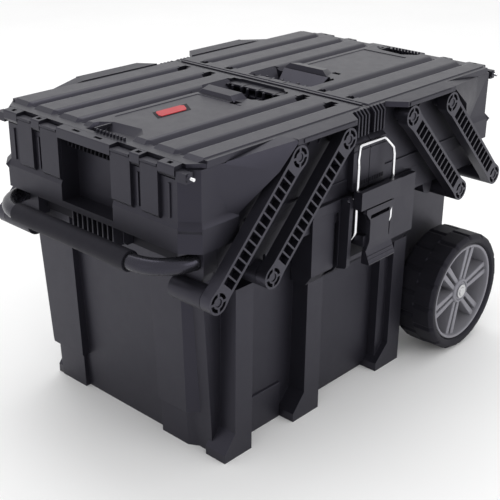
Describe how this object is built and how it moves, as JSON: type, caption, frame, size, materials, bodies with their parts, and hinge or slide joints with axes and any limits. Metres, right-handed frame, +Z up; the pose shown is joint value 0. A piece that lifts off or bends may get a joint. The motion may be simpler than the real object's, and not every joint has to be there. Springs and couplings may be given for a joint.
{
  "type": "rolling cantilever tool box",
  "caption": "Wheeled hard plastic tool box with swing-out cantilever trays under hinged lids, ladder arms, wire latches and a pull-out tube handle.",
  "frame": {"origin": "on the flat underside of the bin, below the seam between the two trays and midway between front and back", "axes": "+X along the length towards the wheels, +Y towards the back, +Z up"},
  "size_m": [0.6516, 0.42, 0.4055],
  "materials": {
    "body_plastic": "fine moulded texture",
    "lid_plastic": "fine moulded texture",
    "arm_plastic": "satin moulded",
    "latch_plastic": "satin moulded",
    "rim_plastic": "satin moulded grey",
    "tyre": "matte",
    "handle_tube": "matte powder coat",
    "grip": "matte",
    "bright_wire": "bright plated",
    "axle_steel": "plain",
    "hub_steel": "bright"
  },
  "bodies": {
    "root": {"bin_shell": "body_plastic", "front_rail": "body_plastic", "back_rail": "body_plastic", "left_end_beam": "body_plastic", "right_end_beam": "body_plastic", "left_front_corner_bracket": "body_plastic", "left_back_corner_bracket": "body_plastic", "right_front_corner_bracket": "body_plastic", "right_back_corner_bracket": "body_plastic", "front_latch_base": "body_plastic", "back_latch_base": "body_plastic", "axle": "axle_steel", "left_front_outer_low_pin": "arm_plastic", "left_front_inner_low_pin": "arm_plastic", "left_back_outer_low_pin": "arm_plastic", "left_back_inner_low_pin": "arm_plastic", "right_front_outer_low_pin": "arm_plastic", "right_front_inner_low_pin": "arm_plastic", "right_back_outer_low_pin": "arm_plastic", "right_back_inner_low_pin": "arm_plastic", "front_lever_pin": "bright_wire", "back_lever_pin": "bright_wire"},
    "left_outer_arms": {"left_front_outer_arm": "arm_plastic", "left_back_outer_arm": "arm_plastic"},
    "left_inner_arms": {"left_front_inner_arm": "arm_plastic", "left_back_inner_arm": "arm_plastic"},
    "left_tray_body": {"left_tray": "body_plastic", "left_hinge_rod": "bright_wire", "left_front_outer_top_pin": "arm_plastic", "left_front_inner_top_pin": "arm_plastic", "left_back_outer_top_pin": "arm_plastic", "left_back_inner_top_pin": "arm_plastic"},
    "left_lid_body": {"left_lid": "lid_plastic"},
    "right_outer_arms": {"right_front_outer_arm": "arm_plastic", "right_back_outer_arm": "arm_plastic"},
    "right_inner_arms": {"right_front_inner_arm": "arm_plastic", "right_back_inner_arm": "arm_plastic"},
    "right_tray_body": {"right_tray": "body_plastic", "right_hinge_rod": "bright_wire", "right_front_outer_top_pin": "arm_plastic", "right_front_inner_top_pin": "arm_plastic", "right_back_outer_top_pin": "arm_plastic", "right_back_inner_top_pin": "arm_plastic"},
    "right_lid_body": {"right_lid": "lid_plastic"},
    "front_lever": {"front_latch_lever": "latch_plastic"},
    "front_bail": {"front_latch_bail": "bright_wire", "front_bail_bridge": "latch_plastic"},
    "front_wheel": {"front_tyre": "tyre", "front_wheel_rim": "rim_plastic", "front_hub_cap": "hub_steel"},
    "back_lever": {"back_latch_lever": "latch_plastic"},
    "back_bail": {"back_latch_bail": "bright_wire", "back_bail_bridge": "latch_plastic"},
    "back_wheel": {"back_tyre": "tyre", "back_wheel_rim": "rim_plastic", "back_hub_cap": "hub_steel"},
    "pull_handle": {"handle_tube": "handle_tube", "handle_grip": "grip", "front_tube_plug": "latch_plastic", "back_tube_plug": "latch_plastic"}
  },
  "joints": [
    {"name": "left_swing", "type": "hinge", "parent": "root", "child": "left_outer_arms", "pos_m": [-0.2871, 0, 0.2491], "axis": [0, -1, 0], "range_deg": [0, 84]},
    {"name": "left_inner_swing", "type": "hinge", "parent": "root", "child": "left_inner_arms", "pos_m": [-0.1974, 0, 0.2491], "axis": [0, -1, 0], "range_deg": [0, 84]},
    {"name": "left_tray_level", "type": "hinge", "parent": "left_outer_arms", "child": "left_tray_body", "pos_m": [-0.1557, 0, 0.3834], "axis": [0, -1, 0], "range_deg": [-84, 0]},
    {"name": "left_lid_hinge", "type": "hinge", "parent": "left_tray_body", "child": "left_lid_body", "pos_m": [-0.3024, 0, 0.39], "axis": [0, -1, 0], "range_deg": [0, 110]},
    {"name": "right_swing", "type": "hinge", "parent": "root", "child": "right_outer_arms", "pos_m": [0.2871, 0, 0.2491], "axis": [0, 1, 0], "range_deg": [0, 84]},
    {"name": "right_inner_swing", "type": "hinge", "parent": "root", "child": "right_inner_arms", "pos_m": [0.1974, 0, 0.2491], "axis": [0, 1, 0], "range_deg": [0, 84]},
    {"name": "right_tray_level", "type": "hinge", "parent": "right_outer_arms", "child": "right_tray_body", "pos_m": [0.1557, 0, 0.3834], "axis": [0, 1, 0], "range_deg": [-84, 0]},
    {"name": "right_lid_hinge", "type": "hinge", "parent": "right_tray_body", "child": "right_lid_body", "pos_m": [0.3024, 0, 0.39], "axis": [0, 1, 0], "range_deg": [0, 110]},
    {"name": "front_lever_hinge", "type": "hinge", "parent": "root", "child": "front_lever", "pos_m": [0, -0.1845, 0.297], "axis": [-1, 0, 0], "range_deg": [0, 125]},
    {"name": "front_bail_hinge", "type": "hinge", "parent": "front_lever", "child": "front_bail", "pos_m": [0, -0.1795, 0.24], "axis": [-1, 0, 0], "range_deg": [-138, 0]},
    {"name": "back_lever_hinge", "type": "hinge", "parent": "root", "child": "back_lever", "pos_m": [0, 0.1845, 0.297], "axis": [1, 0, 0], "range_deg": [0, 125]},
    {"name": "back_bail_hinge", "type": "hinge", "parent": "back_lever", "child": "back_bail", "pos_m": [0, 0.1795, 0.24], "axis": [1, 0, 0], "range_deg": [-138, 0]},
    {"name": "front_wheel_spin", "type": "hinge", "parent": "root", "child": "front_wheel", "pos_m": [0.213, -0.1783, 0.0889], "axis": [0, 1, 0], "continuous": true},
    {"name": "back_wheel_spin", "type": "hinge", "parent": "root", "child": "back_wheel", "pos_m": [0.213, 0.1783, 0.0889], "axis": [0, 1, 0], "continuous": true},
    {"name": "handle_slide", "type": "slide", "parent": "root", "child": "pull_handle", "axis": [-1, 0, 0], "range_m": [0, 0.33]}
  ],
  "couplings": [
    {"joint": "left_inner_swing", "follows": "left_swing", "ratio": 1},
    {"joint": "left_tray_level", "follows": "left_swing", "ratio": -1},
    {"joint": "right_inner_swing", "follows": "right_swing", "ratio": 1},
    {"joint": "right_tray_level", "follows": "right_swing", "ratio": -1},
    {"joint": "front_bail_hinge", "follows": "front_lever_hinge", "ratio": -1.1},
    {"joint": "back_bail_hinge", "follows": "back_lever_hinge", "ratio": -1.1}
  ]
}
